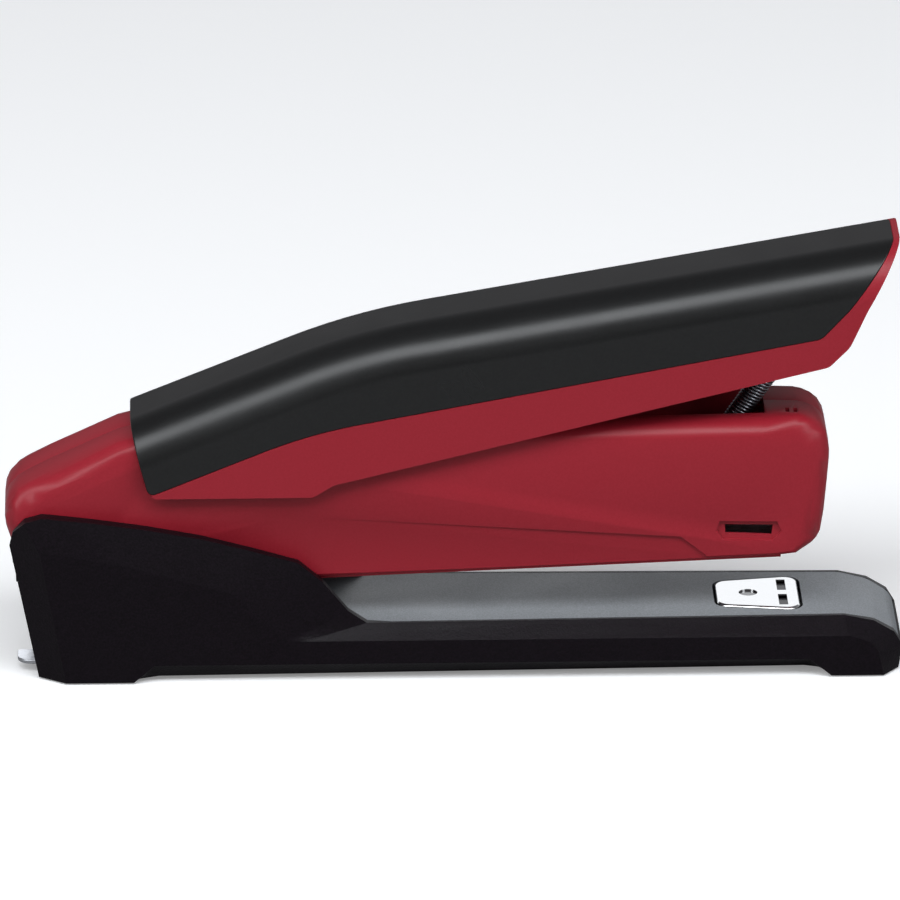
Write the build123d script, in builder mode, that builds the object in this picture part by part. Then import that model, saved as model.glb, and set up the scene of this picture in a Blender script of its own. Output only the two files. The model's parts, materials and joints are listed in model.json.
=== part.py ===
"""Full-strip desktop stapler with a spring-driven blade.

Millimetres, +Z up, nose along +X, middle plane at Y = 0. The origin is on the desk under the middle
of the stapler. Side outlines are drawn on SIDE, where x is X and y is Z. Everything that follows the
staples is drawn on TRACK, which is tilted like the bottom of the body: x runs forward along the
staples and y up from the body's bottom.
"""

from build123d import *
import os
from math import cos, radians, sin, tan

os.makedirs("parts", exist_ok=True)

# Overall layout
TAIL_X = -100.0  # rearmost point of the red body
HINGE_X, HINGE_Z = -80.0, 30.0  # axis on which the body swings
THROAT = 154.7  # from the body hinge to the blade
STRIKE = HINGE_X + THROAT  # blade's place along the staples
NOSE = STRIKE + 25.3  # front end of the base
KNEE_X, KNEE_Z = -62.0, 50.0  # axis on which the handle swings
TILT = 2.2  # nose-up slope of the body's bottom, in degrees
TRACK_Z = 23.4  # height of the body's bottom at X = 0

# Widths and walls
BODY_HALF = 13.2
BODY_WALL = 1.6
RUN_GAP = 0.4  # between pieces that swing past each other
FRAME_WALL = 1.1
COVER_WALL = 1.1
SEAT_GAP = 0.1  # between pieces that are fixed together
FRAME_IN = BODY_HALF + RUN_GAP
FRAME_OUT = FRAME_IN + FRAME_WALL
COVER_IN = FRAME_OUT + SEAT_GAP
HANDLE_HALF = COVER_IN + COVER_WALL
WING_IN = BODY_HALF + 0.8
BASE_HALF = 19.0

# Base heights
BASE_TOP = 13.0
BASE_CREASE = 9.8
BASE_UNDER = 1.2
SIDE_FOOT = 4.4
FOOT_Z = 0.4
PAD_T = 1.9
PLATE_T = 1.8
FLOOR_Z = 8.0

# Staples and their channel
CROWN = 12.7
WIRE = 0.5
LEG = 5.6
STRIP = 54.0
SHEET = 0.8
BLADE_T = 0.7
CHANNEL_IN = CROWN / 2 + 0.35
CHANNEL_OUT = CHANNEL_IN + SHEET
RAIL_HALF = CROWN / 2 - WIRE - 0.25
WEB_LOW, WEB_TOP = 0.4, 1.1
RAIL_TOP = 6.3
CROWN_LOW = RAIL_TOP + 0.1
CEILING = CROWN_LOW + WIRE + 0.6
RAIL_FRONT = STRIKE - BLADE_T / 2 - 0.25
RAIL_REAR = -84.0

# Pins and the running clearance of their holes
PIN_R = 2.0
LEVER_PIN_R = 1.7
PIN_FIT = 0.05
SCREW_R = 1.2

UP = (Align.CENTER, Align.CENTER, Align.MIN)  # a cylinder that stands on its place

SIDE = Plane.XZ
TRACK = Plane(
    origin=(0, 0, TRACK_Z),
    x_dir=(cos(radians(TILT)), 0, sin(radians(TILT))),
    z_dir=(0, -1, 0),
)


def bottom(x):
    """Height of the body's bottom line at x."""
    return TRACK_Z + tan(radians(TILT)) * x


def outline(points, plane=SIDE):
    """A face with straight sides through the points."""
    with BuildSketch(plane) as face:
        with BuildLine():
            Polyline(*points, close=True)
        make_face()
    return face.sketch


def rounded(points, radii, plane=SIDE):
    """A face through the points, each corner rounded by its own radius, or left sharp at 0."""
    with BuildSketch(plane) as face:
        with BuildLine():
            Polyline(*points, close=True)
        make_face()
        for point, radius in zip(points, radii):
            if radius:
                corner = face.vertices().sort_by_distance(Vector(*point))[0]
                fillet(corner, radius=radius)
    return face.sketch


def block(face, half, mode=Mode.ADD):
    """The face extruded to both sides of the middle plane."""
    extrude(face, amount=half, both=True, mode=mode)


def box(x0, x1, z0, z1, half, plane=SIDE, mode=Mode.ADD):
    """A block between two places along x, two heights and half a width."""
    block(outline([(x0, z0), (x1, z0), (x1, z1), (x0, z1)], plane), half, mode)


def pair(x0, x1, z0, z1, y0, y1, plane=SIDE, mode=Mode.ADD, sides=(-1, 1)):
    """Two blocks, one each side of the middle plane, from y0 to y1 out."""
    face = outline([(x0, z0), (x1, z0), (x1, z1), (x0, z1)], plane)
    for side in sides:
        shift = Vector(0, side * y0, 0)
        extrude(face.moved(Location(shift)), amount=y1 - y0, dir=(0, side, 0), mode=mode)


def cross_pin(x, z, radius, half, plane=SIDE, mode=Mode.ADD):
    """A round bar or hole along Y."""
    with BuildSketch(plane) as face:
        with Locations((x, z)):
            Circle(radius)
    extrude(face.sketch, amount=half, both=True, mode=mode)


def finish(piece, name):
    piece.part.label = name
    export_step(piece.part, f"parts/{name}.step")


# ---------------------------------------------------------------- Base

# Outline where the top edge of a wing runs, clockwise from the wing's rear corner
WING_EDGE = [
    (-91.6, 38.9),
    (-80.7, 37.6),
    (-68.6, 35.8),
    (-56.6, 33.5),
    (-45.4, 30.5),
    (-34.8, 27.4),
    (-29.5, 22.9),
    (-23.8, 15.9),
    (-19.6, BASE_TOP),
    (NOSE - 13.0, BASE_TOP),
    (NOSE - 6.5, BASE_TOP - 1.4),
    (NOSE - 2.0, BASE_TOP - 4.1),
    (NOSE, BASE_TOP - 7.4),
    (NOSE - 0.9, FOOT_Z),
    (NOSE - 16.2, FOOT_Z),
    (NOSE - 22.0, BASE_UNDER),
    (-66.0, BASE_UNDER),
    (-71.5, FOOT_Z),
    (-92.7, FOOT_Z),
    (-98.9, 31.6),
    (-98.1, 35.0),
    (-95.5, 37.8),
]
# Outline of the widest part of the side, point for point with the one above
WING_SIDE = [
    (-91.1, 31.3),
    (-80.7, 29.4),
    (-72.0, 27.8),
    (-62.0, 25.0),
    (-51.7, 21.9),
    (-48.3, 20.5),
    (-41.6, 13.3),
    (-37.7, BASE_CREASE + 0.1),
    (-33.0, BASE_CREASE),
    (NOSE - 12.3, BASE_CREASE),
    (NOSE - 9.5, BASE_CREASE - 0.8),
    (NOSE - 7.3, BASE_CREASE - 1.8),
    (NOSE - 5.8, BASE_CREASE - 3.8),
    (NOSE - 4.5, FOOT_Z),
    (NOSE - 16.2, FOOT_Z),
    (NOSE - 21.0, SIDE_FOOT),
    (-67.0, SIDE_FOOT),
    (-71.5, FOOT_Z),
    (-86.5, FOOT_Z),
    (-92.0, 30.3),
    (-91.9, 30.8),
    (-91.6, 31.2),
]
EDGE_REAR, EDGE_FRONT = 17.4, 14.0  # half-widths of the top edge at the two ends
EDGE_TAPER = (EDGE_REAR - EDGE_FRONT) / (NOSE - TAIL_X)
EDGE_MIDDLE = EDGE_REAR + EDGE_TAPER * TAIL_X


def edge_plane(side):
    """Upright plane through the top edge of one side, which narrows to the front."""
    return Plane(
        origin=(0, side * EDGE_MIDDLE, 0),
        x_dir=(1, -side * EDGE_TAPER, 0),
        z_dir=(-EDGE_TAPER, -1, 0) if side > 0 else (EDGE_TAPER, -1, 0),
    )


def plate_curve(drop, front):
    """Top line of the front of the base, lowered by drop and moved back by front."""
    return [
        (NOSE - 13.0, BASE_TOP - drop),
        (NOSE - 6.5 - front * 0.3, BASE_TOP - 1.4 - drop),
        (NOSE - 2.0 - front * 0.8, BASE_TOP - 4.1 - drop * 0.7),
        (NOSE - 0.4 - front, BASE_TOP - 6.6 - drop * 0.3),
    ]


PLATE_REAR = -58.0
PLATE_EDGE = 0.9  # width of the shell's rim beside the plate
RAMP_X = PLATE_REAR - 4.0


def plate_solid(gap):
    """The insert's solid, grown by gap, to be cut from the shell or kept."""
    top = plate_curve(0, 0)
    low = plate_curve(PLATE_T + gap, 2.0 + gap)
    face = outline(
        [(PLATE_REAR - gap, BASE_TOP - PLATE_T - gap), (PLATE_REAR - gap, BASE_TOP)]
        + top
        + low[::-1]
    )
    with BuildPart() as solid:
        block(face, BASE_HALF)
        with BuildSketch(Plane.XY) as plan:
            with BuildLine():
                rear = EDGE_MIDDLE - EDGE_TAPER * PLATE_REAR - PLATE_EDGE + gap
                inside = min(rear, WING_IN)
                wide = EDGE_MIDDLE + EDGE_TAPER * 20 - PLATE_EDGE + gap
                tip = EDGE_FRONT - PLATE_EDGE + gap
                Polyline(
                    (PLATE_REAR - 5, -inside + 0.3 - gap),
                    (-22, -inside + 0.3 - gap),
                    (-14, -wide),
                    (NOSE - 12, -tip),
                    (NOSE + 1, -tip + 1.6),
                    (NOSE + 1, tip - 1.6),
                    (NOSE - 12, tip),
                    (-14, wide),
                    (-22, inside - 0.3 + gap),
                    (PLATE_REAR - 5, inside - 0.3 + gap),
                    close=True,
                )
            make_face()
        extrude(plan.sketch, amount=2 * BASE_TOP, mode=Mode.INTERSECT)
    return solid.part


ANVIL_FRONT = STRIKE + 2.8
ANVIL_LEN = 18.7
ANVIL_REAR = ANVIL_FRONT - ANVIL_LEN
ANVIL_WIDE, ANVIL_NARROW = 10.6, 7.6
ANVIL_GAP = 0.5
ANVIL_LOW = BASE_TOP - PLATE_T
ANVIL_TOP = BASE_TOP + 0.25
RIVET_X = ANVIL_FRONT - 11.4
RIVET_R = 2.0


def anvil_plan(gap):
    """Plan of the anvil, grown by gap."""
    with BuildSketch(Plane.XY.offset(ANVIL_LOW)) as plan:
        with BuildLine():
            FilletPolyline(
                (ANVIL_FRONT + gap, -ANVIL_WIDE - gap),
                (ANVIL_FRONT + gap, ANVIL_WIDE + gap),
                (ANVIL_REAR - gap, ANVIL_NARROW + gap),
                (ANVIL_REAR - gap, -ANVIL_NARROW - gap),
                radius=3.0 + gap,
                close=True,
            )
        make_face()
    return plan.sketch


PIN_END = 16.6
STIFF_HALF = 11.0
STIFF_TOP = ANVIL_LOW - 1.5
STIFF_REAR, STIFF_FRONT = -54.0, STRIKE + 1.0
COVER_REAR, COVER_FRONT = -64.0, NOSE - 22.3
COVER_HALF = 14.0
COVER_T = 1.5
CAVITY_TOP = STIFF_TOP
BASE_SCREWS = [(-58.0, -9.0), (-58.0, 9.0), (STRIKE - 4.0, -9.0), (STRIKE - 4.0, 9.0)]
POST_R = 3.2
HEAD_R = 2.2
TONGUE_IN, TONGUE_OUT = 4.0, 11.0  # how far from the middle the tongue runs
TONGUE_T = 0.9
TONGUE_Z = 2.1
PAD_HALF = 12.0
REAR_PAD = (-90.5, -73.5)
FRONT_PAD = (NOSE - 14.5, NOSE - 4.5)

with BuildPart() as base_shell:
    sections = [
        outline(WING_SIDE, SIDE.offset(-BASE_HALF)),
        outline(WING_EDGE, edge_plane(1)),
        outline(WING_EDGE, edge_plane(-1)),
        outline(WING_SIDE, SIDE.offset(BASE_HALF)),
    ]
    loft(sections, ruled=True)
    # Facets across the two rear corners
    for side in (-1, 1):
        rear_facet = Plane(
            origin=(-86.5, side * BASE_HALF, 0),
            x_dir=(-5.5, 0, 30.5),
            z_dir=Vector(-30.5, side * 42.0, -5.5),
        )
        split(bisect_by=rear_facet, keep=Keep.BOTTOM)
    # The space between the wings, where the body swings
    swing_room = [
        (-110, 12),
        (-92, 12),
        (-91.4, FLOOR_Z),
        (-60, FLOOR_Z),
        (RAMP_X + 3, BASE_TOP),
        (0, BASE_TOP),
        (0, 50),
        (-110, 50),
    ]
    block(outline(swing_room), WING_IN, Mode.SUBTRACT)
    # The hollow underneath
    box(COVER_REAR + 1.5, COVER_FRONT - 1.5, -1, CAVITY_TOP, COVER_HALF - 1.5, mode=Mode.SUBTRACT)
    box(-90.5, COVER_REAR - 1.5, PAD_T + 1.6, FLOOR_Z - 1.8, COVER_HALF - 1.5, mode=Mode.SUBTRACT)
    for x, y in BASE_SCREWS:
        with Locations((x, y, BASE_UNDER + COVER_T + SEAT_GAP)):
            Cylinder(POST_R, CAVITY_TOP - BASE_UNDER - COVER_T, align=UP)
        with Locations((x, y, BASE_UNDER)):
            Cylinder(SCREW_R + 0.05, 6.5, align=UP, mode=Mode.SUBTRACT)
    box(COVER_REAR - SEAT_GAP, COVER_FRONT + SEAT_GAP, 0, BASE_UNDER + COVER_T + SEAT_GAP,
        COVER_HALF + SEAT_GAP, mode=Mode.SUBTRACT)
    for low, high in (REAR_PAD, FRONT_PAD):
        box(low - SEAT_GAP, high + SEAT_GAP, -1, PAD_T, PAD_HALF + SEAT_GAP, mode=Mode.SUBTRACT)
    # Slot for the staple remover's tongue
    slot = (TONGUE_Z - 0.1, TONGUE_Z + TONGUE_T + 0.1, TONGUE_IN - 0.1, TONGUE_OUT + 0.1)
    pair(-100, -74, *slot, mode=Mode.SUBTRACT, sides=(-1,))
    cross_pin(HINGE_X, HINGE_Z, PIN_R + PIN_FIT / 2, PIN_END + 0.2, mode=Mode.SUBTRACT)
    add(plate_solid(SEAT_GAP), mode=Mode.SUBTRACT)
    with Locations((RIVET_X, 0, 0)):
        Cylinder(RIVET_R * 0.6 + 0.05, 40, mode=Mode.SUBTRACT)
finish(base_shell, "base_shell")

with BuildPart() as base_top_plate:
    add(plate_solid(0))
    extrude(anvil_plan(ANVIL_GAP), amount=10, both=True, mode=Mode.SUBTRACT)
finish(base_top_plate, "base_top_plate")

GROOVE_X = STRIKE - 1.0  # where the closed blade meets the anvil
GROOVE_HALF = 1.0
with BuildPart() as anvil_plate:
    extrude(anvil_plan(0), amount=ANVIL_TOP - ANVIL_LOW)
    fillet(anvil_plate.faces().sort_by(Axis.Z)[-1].edges(), radius=0.7)
    # Two shallow pockets that turn the legs inwards
    with Locations((GROOVE_X, 4.6, ANVIL_TOP), (GROOVE_X, -4.6, ANVIL_TOP)):
        Box(2 * GROOVE_HALF, 6.6, 1.4, mode=Mode.SUBTRACT)
    with Locations((RIVET_X, 0, ANVIL_TOP)):
        Cylinder(RIVET_R + 0.1, 1.8, mode=Mode.SUBTRACT)
    with Locations((RIVET_X, 0, ANVIL_TOP)):
        Cylinder(RIVET_R * 0.6 + 0.05, 10, mode=Mode.SUBTRACT)
finish(anvil_plate, "anvil_plate")

with BuildPart() as base_stiffener:
    box(STIFF_REAR, STIFF_FRONT, STIFF_TOP - 4.5, STIFF_TOP, STIFF_HALF)
    box(STIFF_REAR - 1, STIFF_FRONT + 1, 0, STIFF_TOP - 1.0, STIFF_HALF - 1.0, mode=Mode.SUBTRACT)
    with Locations((RIVET_X, 0, 0)):
        Cylinder(RIVET_R * 0.6 + 0.05, 40, mode=Mode.SUBTRACT)
    for x, y in BASE_SCREWS:
        with Locations((x, y, 0)):
            Cylinder(POST_R + 0.1, 40, mode=Mode.SUBTRACT)
finish(base_stiffener, "base_stiffener")

with BuildPart() as anvil_rivet:
    with Locations((RIVET_X, 0, STIFF_TOP - 1.6)):
        Cylinder(RIVET_R * 0.6, ANVIL_TOP - 0.9 - STIFF_TOP + 1.6, align=UP)
    for z in (ANVIL_TOP - 0.9, STIFF_TOP - 1.6):
        with Locations((RIVET_X, 0, z)):
            Cylinder(RIVET_R, 0.5, align=UP)
finish(anvil_rivet, "anvil_rivet")

with BuildPart() as base_bottom_cover:
    box(COVER_REAR, COVER_FRONT, BASE_UNDER, BASE_UNDER + COVER_T, COVER_HALF)
    for x, y in BASE_SCREWS:
        with Locations((x, y, BASE_UNDER)):
            Cylinder(SCREW_R + 0.1, 10, mode=Mode.SUBTRACT)
        with Locations((x, y, BASE_UNDER)):
            Cylinder(HEAD_R + 0.1, 1.8, mode=Mode.SUBTRACT)
finish(base_bottom_cover, "base_bottom_cover")

with BuildPart() as base_screws:
    for x, y in BASE_SCREWS:
        with Locations((x, y, BASE_UNDER + 0.1)):
            Cylinder(HEAD_R, 0.75, align=UP)
            Cylinder(SCREW_R, 6.0, align=UP)
finish(base_screws, "base_screws")

for name, (low, high) in {"rear_foot_pad": REAR_PAD, "front_foot_pad": FRONT_PAD}.items():
    with BuildPart() as pad:
        box(low, high, 0, PAD_T - SEAT_GAP, PAD_HALF)
        fillet(pad.edges().filter_by(Axis.Z), radius=2.0)
    finish(pad, name)

with BuildPart() as staple_remover:
    with BuildSketch(Plane.XY.offset(TONGUE_Z)):
        with BuildLine():
            FilletPolyline(
                (-97.4, -TONGUE_OUT),
                (-97.4, -TONGUE_IN),
                (-75.0, -TONGUE_IN),
                (-75.0, -TONGUE_OUT),
                radius=[3.2, 0.5, 0.5, 3.2],
                close=True,
            )
        make_face()
    extrude(amount=TONGUE_T)
finish(staple_remover, "staple_remover")

with BuildPart() as body_pivot_pin:
    cross_pin(HINGE_X, HINGE_Z, PIN_R, PIN_END)
finish(body_pivot_pin, "body_pivot_pin")

# ---------------------------------------------------------------- Body

# Side outline of the body's middle, from the top of the tail backwards and round
BODY_MIDDLE = [
    (-71.0, 55.5),
    (-93.3, 45.3),
    (-98.2, 42.2),
    (TAIL_X, 38.0),
    (-99.4, 33.0),
    (-96.5, 27.0),
    (-90.0, 22.0),
    (-83.0, bottom(-83)),
    (STRIKE + 1.0, bottom(STRIKE + 1)),
    (STRIKE + 3.0, 27.4),
    (STRIKE + 5.9, 29.4),
    (STRIKE + 7.2, 31.9),
    (STRIKE + 8.6, 47.0),
    (STRIKE + 8.7, 51.5),
    (STRIKE + 7.6, 55.8),
    (STRIKE + 4.8, 58.2),
    (STRIKE + 0.5, 59.1),
    (-50.0, 57.2),
]
# Side outline where the body is widest, point for point with the one above
BODY_SIDE = [
    (-70.5, 52.0),
    (-89.5, 42.2),
    (-93.0, 40.0),
    (-95.2, 36.8),
    (-95.0, 33.2),
    (-92.6, 28.6),
    (-88.0, 24.8),
    (-82.5, bottom(-83) + 1.6),
    (STRIKE + 0.5, bottom(STRIKE) + 1.4),
    (STRIKE + 1.4, 29.4),
    (STRIKE + 1.9, 31.0),
    (STRIKE + 2.2, 33.4),
    (STRIKE + 3.6, 47.0),
    (STRIKE + 3.7, 49.6),
    (STRIKE + 2.9, 52.2),
    (STRIKE + 0.8, 54.0),
    (STRIKE - 3.0, 54.9),
    (-50.0, 53.4),
]
TOP_HALF = 8.4
LEVER_X, LEVER_Z = STRIKE - 28.6, 48.0
SCREW_POSTS = [(-40.0, 45.0), (STRIKE - 44.0, 36.6)]
BOSS_R = 4.0
BOSS_IN = 3.2
SPRING_SLOT = (8.3, 11.3)
BAND_REAR, BAND_DEPTH = -38.0, 0.6
BAND = [
    (BAND_REAR, 15),
    (BAND_REAR, 37.5),
    (STRIKE - 24.4, 31.6),
    (STRIKE - 18.8, 27.2),
    (STRIKE - 18.8, 15),
]
WINDOW_X, WINDOW_Z = STRIKE - 9.2, 33.0
WINDOW_DEPTH = 0.8
WINDOW_RIM = [(-7.3, 0.1), (-5.8, -2.2), (5.2, -2.5), (7.2, -0.4), (6.2, 2.0), (-6.6, 2.2)]
WINDOW_SLOT = [(-5.3, -0.9), (5.0, -1.4), (5.3, 1.0), (-5.4, 1.2)]
ROLL = [0.0, 0.25, 0.5, 0.75, 1.0]  # steps of the roll from the middle to the widest part
EASE_SHARE, EASE_MOST = 0.28, 4.0  # how much of a run is cut off at a corner, at most in mm


def eased(points):
    """The outline with each corner cut once, so that it turns in two smaller steps."""
    out = []
    for before, corner, after in zip(points[-1:] + points[:-1], points, points[1:] + points[:1]):
        for other in (before, after):
            run = Vector(*other) - Vector(*corner)
            cut = min(EASE_SHARE, EASE_MOST / run.length)
            step = Vector(*corner) + run * cut
            out.append((step.X, step.Y))
    return out


def rolled(share):
    """Half-width and outline of the body at a share of a quarter-ellipse from its middle."""
    turn = radians(90 * share)
    half = TOP_HALF + (BODY_HALF - TOP_HALF) * sin(turn)
    inward = 1 - cos(turn)
    points = [
        (a[0] + (b[0] - a[0]) * inward, a[1] + (b[1] - a[1]) * inward)
        for a, b in zip(BODY_MIDDLE, BODY_SIDE)
    ]
    return half, eased(points)


SIDE_HOLLOW = [
    (-90, 30),
    (-88, 39),
    (-68, 49.5),
    (-48, 51),
    (STRIKE + 1.5, 52),
    (STRIKE + 2, 45),
    (STRIKE, 30),
    (STRIKE - 2, 20),
    (-86, 15),
]
MIDDLE_HOLLOW = [
    (-94, 36),
    (-92, 43),
    (-70, 54.2),
    (-50, 55.8),
    (STRIKE, 57.4),
    (STRIKE + 5, 55.5),
    (STRIKE + 6.8, 51),
    (STRIKE + 6.8, 47),
    (STRIKE + 5.4, 32),
    (STRIKE - 2, 18),
    (-89, 18),
]


def housing_half(side):
    """One half of the red shell: side is -1 for the right half, 1 for the left."""
    with BuildPart() as half:
        sections = [outline(eased(BODY_MIDDLE))]
        for share in ROLL:
            half_width, points = rolled(share)
            sections.append(outline(points, SIDE.offset(-side * half_width)))
        loft(sections, ruled=True)
        # The hollow, deeper in the middle
        block(outline(SIDE_HOLLOW), BODY_HALF - BODY_WALL, Mode.SUBTRACT)
        block(outline(MIDDLE_HOLLOW), TOP_HALF - 0.9, Mode.SUBTRACT)
        # Open top, under the handle
        box(-34, STRIKE - 5.6, 50, 70, TOP_HALF, mode=Mode.SUBTRACT)
        # Bottom rails beside the track, and the way out at the tail
        pair(-84, STRIKE - 2, 0, 1.5, CHANNEL_OUT + 0.1, BODY_HALF - 1.2, TRACK, sides=(side,))
        box(-105, STRIKE + 1.45, -6, CEILING + SHEET + 0.1, CHANNEL_OUT + 0.1, TRACK, Mode.SUBTRACT)
        # Low band along the side, which fades out towards the tail
        band_plane = Plane(
            origin=(BAND_REAR, side * BODY_HALF, 0),
            x_dir=(STRIKE, -side * BAND_DEPTH, 0),
            z_dir=(-side * BAND_DEPTH, -STRIKE, 0),
        )
        band = outline([(x - BAND_REAR, z) for x, z in BAND], band_plane)
        extrude(band, amount=3, dir=(0, side, 0), mode=Mode.SUBTRACT)
        # Bosses for the lever's pin and for the screws
        for x, z in [(LEVER_X, LEVER_Z)] + SCREW_POSTS:
            inner = BOSS_IN if x == LEVER_X else 0.05
            radius = BOSS_R if x == LEVER_X else 3.0
            with BuildSketch(SIDE.offset(-side * inner)) as round_face:
                with Locations((x, z)):
                    Circle(radius)
            extrude(round_face.sketch, amount=BODY_HALF - 1.0 - inner, dir=(0, side, 0))
        cross_pin(LEVER_X, LEVER_Z, LEVER_PIN_R + SEAT_GAP / 2, BODY_HALF - 1.8, mode=Mode.SUBTRACT)
        for x, z in SCREW_POSTS:
            cross_pin(x, z, SCREW_R + 0.05, BODY_HALF - 2.4, mode=Mode.SUBTRACT)
        # Bosses round the two hinge pins
        for x, z in ((HINGE_X, HINGE_Z), (KNEE_X, KNEE_Z)):
            with BuildSketch(SIDE.offset(-side * (BODY_HALF - 1.7))) as round_face:
                with Locations((x, z)):
                    Circle(PIN_R + 2.0)
            extrude(round_face.sketch, amount=0.3, dir=(0, side, 0))
            cross_pin(x, z, PIN_R + PIN_FIT, BODY_HALF + 2, mode=Mode.SUBTRACT)
        # Ways for the legs of the lift spring
        pair(-84, -58, bottom(-84) - 3, 27, *SPRING_SLOT, mode=Mode.SUBTRACT)
        # Window in the side, where the staples show
        floor = SIDE.offset(-side * (BODY_HALF - WINDOW_DEPTH))
        recess = outline([(WINDOW_X + a, WINDOW_Z + b) for a, b in WINDOW_RIM], floor)
        slot = outline([(WINDOW_X + a, WINDOW_Z + b) for a, b in WINDOW_SLOT], floor)
        extrude(recess, amount=3, dir=(0, side, 0), mode=Mode.SUBTRACT)
        extrude(slot, amount=3, both=True, mode=Mode.SUBTRACT)
        # Snap slot on top of the nose
        if side < 0:
            with Locations((STRIKE - 0.6, -6.4, 58.2), (STRIKE + 1.2, -6.4, 58.2)):
                Box(0.9, 2.6, 3, mode=Mode.SUBTRACT)
    return half


for name, side in {"housing_right": -1, "housing_left": 1}.items():
    finish(housing_half(side), name)

with BuildPart() as housing_screws:
    for x, z in SCREW_POSTS:
        cross_pin(x, z, SCREW_R, BODY_HALF - 2.8)
finish(housing_screws, "housing_screws")

CHAMBER_REAR = -40.0
with BuildPart() as magazine_chamber:
    box(CHAMBER_REAR, STRIKE + 0.5, WEB_LOW, CEILING + SHEET, CHANNEL_OUT, TRACK)
    box(CHAMBER_REAR - 1, STRIKE + 1, -1, CEILING, CHANNEL_IN, TRACK, Mode.SUBTRACT)
    box(RAIL_FRONT, STRIKE + 1, CEILING - 1, CEILING + 2, CHANNEL_IN, TRACK, Mode.SUBTRACT)
finish(magazine_chamber, "magazine_chamber")

STROKE = 7.6
BLADE_HALF = CROWN / 2 - 0.15
BLADE_LOW = 0.6
BLADE_HIGH = 22.4
TIP_Z = 44.6  # height of the lever's tip in the blade
TIP_W = (TIP_Z - bottom(STRIKE)) * cos(radians(TILT))
GUIDE_GAP = 0.25
GUIDE_IN = STRIKE + BLADE_T / 2 + GUIDE_GAP
with BuildPart() as striker_guide:
    box(GUIDE_IN, GUIDE_IN + SHEET, WEB_LOW, BLADE_HIGH + STROKE, CHANNEL_IN, TRACK)
    high = BLADE_HIGH + STROKE
    pair(STRIKE - 1.2, GUIDE_IN + SHEET, CEILING + SHEET + 0.1, high, CHANNEL_IN, CHANNEL_OUT, TRACK)
    box(GUIDE_IN - 1, GUIDE_IN + 3, TIP_W - 4, high - 2, 3.4, TRACK, Mode.SUBTRACT)
finish(striker_guide, "striker_guide")

with BuildPart() as striker:
    box(STRIKE - BLADE_T / 2, STRIKE + BLADE_T / 2, BLADE_LOW, BLADE_HIGH, BLADE_HALF, TRACK)
    box(STRIKE - 1, STRIKE + 1, TIP_W - 3.2, TIP_W + 1.3, 3.0, TRACK, Mode.SUBTRACT)
finish(striker, "striker")

with BuildPart() as staple_strip:
    rear = RAIL_FRONT - STRIP
    box(rear, RAIL_FRONT - 0.05, CROWN_LOW + WIRE - LEG, CROWN_LOW + WIRE, CROWN / 2, TRACK)
    box(rear - 1, RAIL_FRONT + 1, 0, CROWN_LOW, CROWN / 2 - WIRE, TRACK, Mode.SUBTRACT)
finish(staple_strip, "staple_strip")

with BuildPart() as lever_pin:
    cross_pin(LEVER_X, LEVER_Z, LEVER_PIN_R, BODY_HALF - 2.0)
finish(lever_pin, "lever_pin")

LEVER_HALF = 2.6
with BuildPart() as lever:
    lever_side = [
        (-6.5, 52.0),
        (-6.5, 55.3),
        (2.0, 55.5),
        (LEVER_X - 6, 52.8),
        (LEVER_X + 4, 52.8),
        (STRIKE - 12.6, 47.6),
        (STRIKE + 1.5, TIP_Z + 0.6),
        (STRIKE + 1.5, TIP_Z - 0.9),
        (STRIKE - 12.6, 43.4),
        (LEVER_X - 6, 43.6),
        (2.0, 52.0),
    ]
    block(outline(lever_side), LEVER_HALF)
    cross_pin(LEVER_X, LEVER_Z, LEVER_PIN_R + PIN_FIT, 10, mode=Mode.SUBTRACT)
finish(lever, "lever")

with BuildPart() as power_spring:
    for lift in (0, 0.95):
        block(outline([
            (STRIKE - 38.0, 38.1 + lift),
            (STRIKE - 38.0, 38.9 + lift),
            (STRIKE - 14, 40.9 + lift),
            (STRIKE + 1.4, 42.5 + lift),
            (STRIKE + 1.4, 41.7 + lift),
            (STRIKE - 14, 40.1 + lift),
        ]), LEVER_HALF)
finish(power_spring, "power_spring")

with BuildPart() as handle_pin:
    cross_pin(KNEE_X, KNEE_Z, PIN_R, FRAME_IN + FRAME_WALL / 2)
finish(handle_pin, "handle_pin")

# ---------------------------------------------------------------- Track

RAIL_IN = RAIL_HALF - SHEET
SLOT_HALF = 1.3
with BuildPart() as track_rail:
    box(RAIL_REAR, RAIL_FRONT, WEB_LOW, RAIL_TOP, RAIL_HALF, TRACK)
    box(RAIL_REAR, RAIL_FRONT, WEB_LOW, WEB_TOP, CHANNEL_IN - 0.2, TRACK)
    box(RAIL_REAR - 1, RAIL_FRONT - 2, WEB_TOP, RAIL_TOP - SHEET, RAIL_IN, TRACK, Mode.SUBTRACT)
    box(RAIL_REAR - 1, RAIL_FRONT - 4, RAIL_TOP - 2, RAIL_TOP + 1, SLOT_HALF, TRACK, Mode.SUBTRACT)
finish(track_rail, "track_rail")

ROD_W = 3.3
ROD_R = 0.8
PULL_REAR = -97.6
PULL_TOP = 7.0
LATCH_X, LATCH_W = -90.4, 4.6  # the latch's pin, along and above the track's line
with BuildPart() as track_pull:
    box(PULL_REAR, RAIL_REAR, WEB_LOW, PULL_TOP, CHANNEL_IN - 0.2, TRACK)
    box(RAIL_REAR, RAIL_REAR + 3.0, WEB_TOP + 0.05, RAIL_TOP - SHEET - 0.05, RAIL_IN - 0.05, TRACK)
    box(PULL_REAR - 1, RAIL_REAR - 1.6, 3.0, PULL_TOP + 1, 4.4, TRACK, Mode.SUBTRACT)
    cross_pin(LATCH_X, LATCH_W, 0.85, 5.8, TRACK, Mode.SUBTRACT)
    with Locations(TRACK.location):
        with Locations(Location((RAIL_REAR, ROD_W, 0), (0, 90, 0))):
            Cylinder(ROD_R + 0.02, 6.2, mode=Mode.SUBTRACT)
finish(track_pull, "track_pull")


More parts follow.
